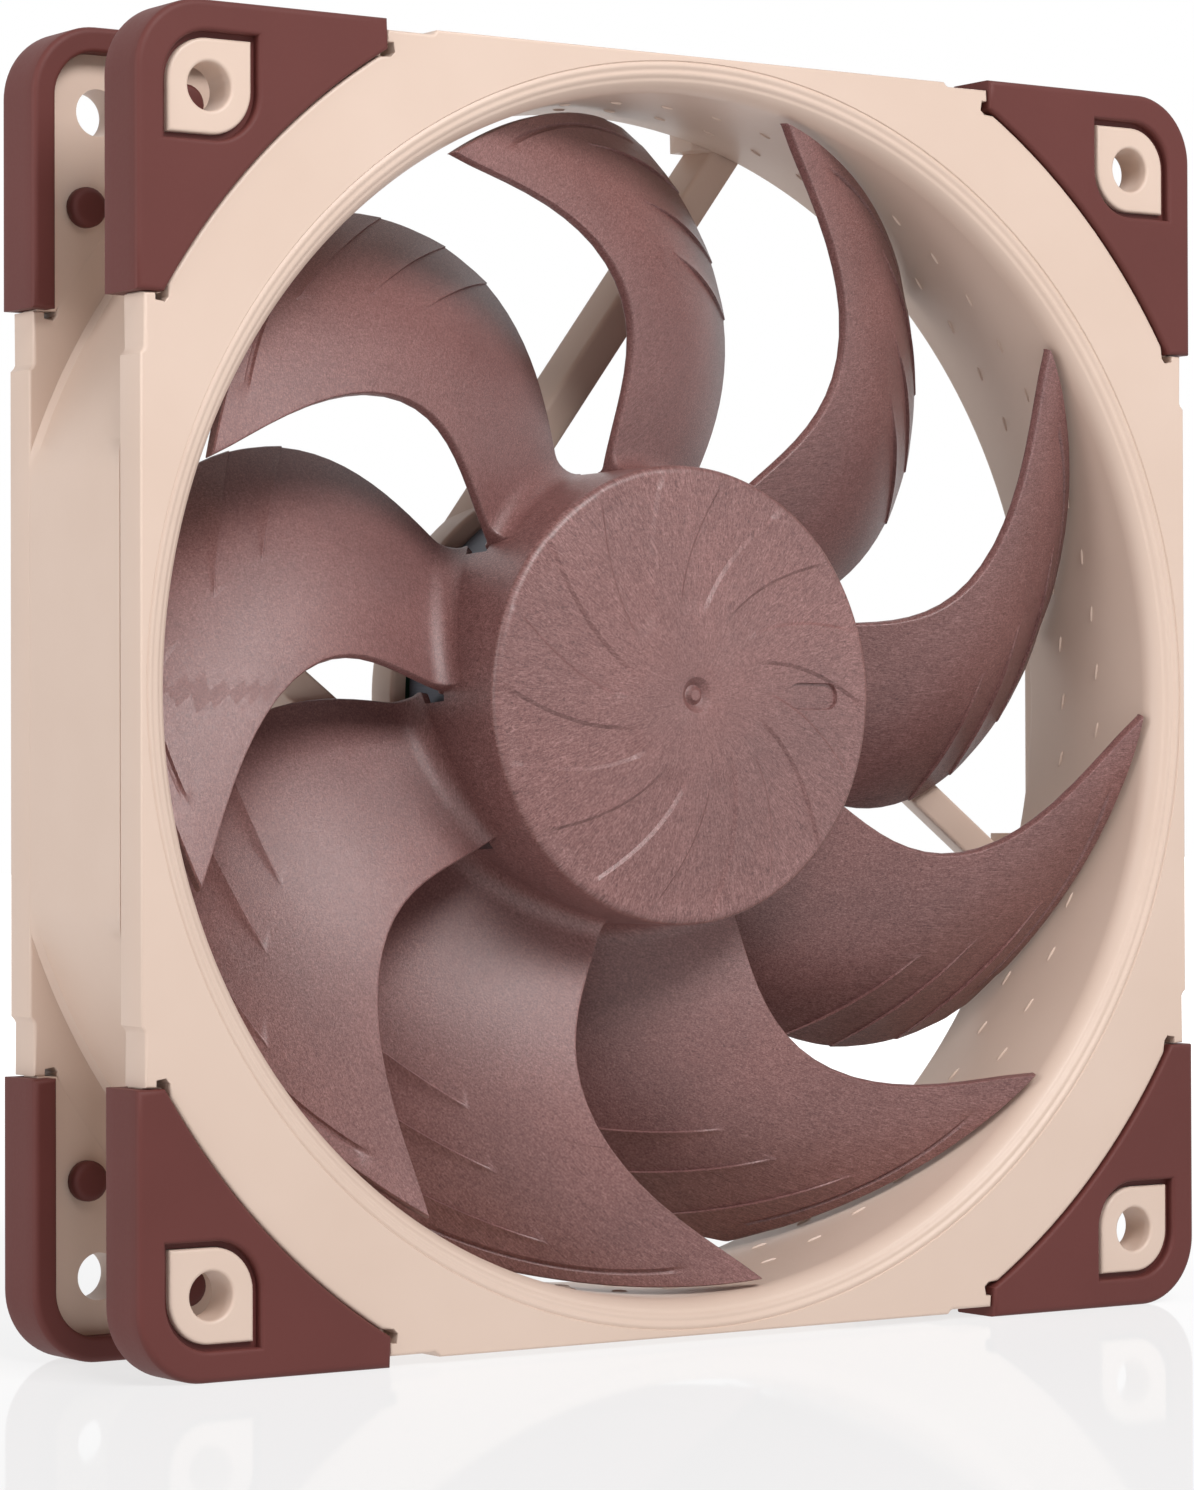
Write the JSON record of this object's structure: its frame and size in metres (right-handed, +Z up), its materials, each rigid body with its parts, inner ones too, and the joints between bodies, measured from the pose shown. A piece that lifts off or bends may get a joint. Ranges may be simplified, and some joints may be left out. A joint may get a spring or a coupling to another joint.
{
  "type": "case fan",
  "caption": "Square axial case fan: ducted swept-blade impeller on a hub motor, curved-cut struts at the outlet and soft corner pads over the screw holes.",
  "frame": {"origin": "centre of the fan's body, on the turning axis and half way between its two faces", "axes": "+Y along the turning axis towards the outlet face, +Z up to the top edge, +X to the right seen from the intake"},
  "size_m": [0.12, 0.025, 0.12],
  "materials": {
    "frame_plastic": "satin beige moulded plastic",
    "pad_rubber": "matte dark brown silicone",
    "blade_plastic": "brown fibre-filled plastic, finely mottled",
    "yoke_steel": "dark blackened steel",
    "bright_steel": "ground steel",
    "brass_parts": "turned brass",
    "sleeve_bronze": "sintered bronze",
    "magnet_compound": "dark bonded ferrite",
    "black_plastic": "black moulded plastic",
    "nylon_parts": "natural nylon",
    "core_steel": "stacked electrical steel",
    "copper_wire": "enamelled copper wire",
    "board_green": "dark green board",
    "ceramic_parts": "tan ceramic",
    "label_film": "plain satin film"
  },
  "bodies": {
    "housing": {"frame": "frame_plastic", "front_pad_top_left": "pad_rubber", "front_pad_top_right": "pad_rubber", "front_pad_bottom_left": "pad_rubber", "front_pad_bottom_right": "pad_rubber", "rear_pad_top_left": "pad_rubber", "rear_pad_top_right": "pad_rubber", "rear_pad_bottom_left": "pad_rubber", "rear_pad_bottom_right": "pad_rubber", "bearing_shell": "brass_parts", "bearing_sleeve": "sleeve_bronze", "oil_seal": "black_plastic", "axial_magnet": "magnet_compound", "thrust_pad": "nylon_parts", "bearing_cap": "brass_parts", "stator_core": "core_steel", "upper_insulator": "nylon_parts", "lower_insulator": "nylon_parts", "coil_1": "copper_wire", "coil_2": "copper_wire", "coil_3": "copper_wire", "coil_4": "copper_wire", "circuit_board": "board_green", "driver_chip": "black_plastic", "hall_sensor": "black_plastic", "capacitors": "ceramic_parts", "terminal_pins": "bright_steel", "rear_label": "label_film"},
    "rotor": {"impeller": "blade_plastic", "shaft_bush": "brass_parts", "shaft": "bright_steel", "retaining_ring": "bright_steel", "rotor_yoke": "yoke_steel", "rotor_magnet": "magnet_compound"}
  },
  "joints": [
    {"name": "rotor_spin", "type": "hinge", "parent": "housing", "child": "rotor", "pos_m": [0, 0, 0], "axis": [0, -1, 0], "continuous": true}
  ]
}
